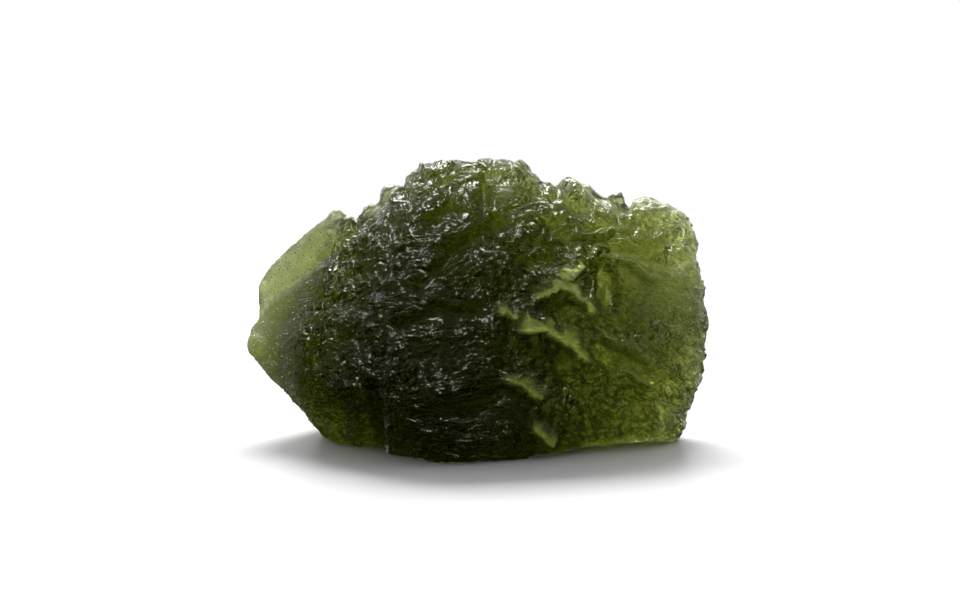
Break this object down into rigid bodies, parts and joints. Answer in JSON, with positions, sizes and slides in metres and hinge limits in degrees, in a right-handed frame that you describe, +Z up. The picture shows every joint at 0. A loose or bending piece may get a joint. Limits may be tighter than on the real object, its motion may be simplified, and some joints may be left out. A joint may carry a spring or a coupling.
{
  "type": "raw moldavite",
  "caption": "Raw lump of see-through green natural glass with a wrinkled, pitted skin and thin pale edges, lying on its flat foot.",
  "frame": {"origin": "centre of the bounding box in X and Y, at the height of the flat foot that the stone rests on", "axes": "+X along the stone's length, from its thin pointed end to its blunt end; +Z up as it rests; the pictured front faces -Y"},
  "size_m": [0.0324, 0.015, 0.0194],
  "materials": {
    "moldavite_glass": "see-through bottle-green glass, wrinkled and satin on the skin, frosted at both ends"
  },
  "bodies": {
    "root": {"moldavite": "moldavite_glass"}
  },
  "joints": []
}
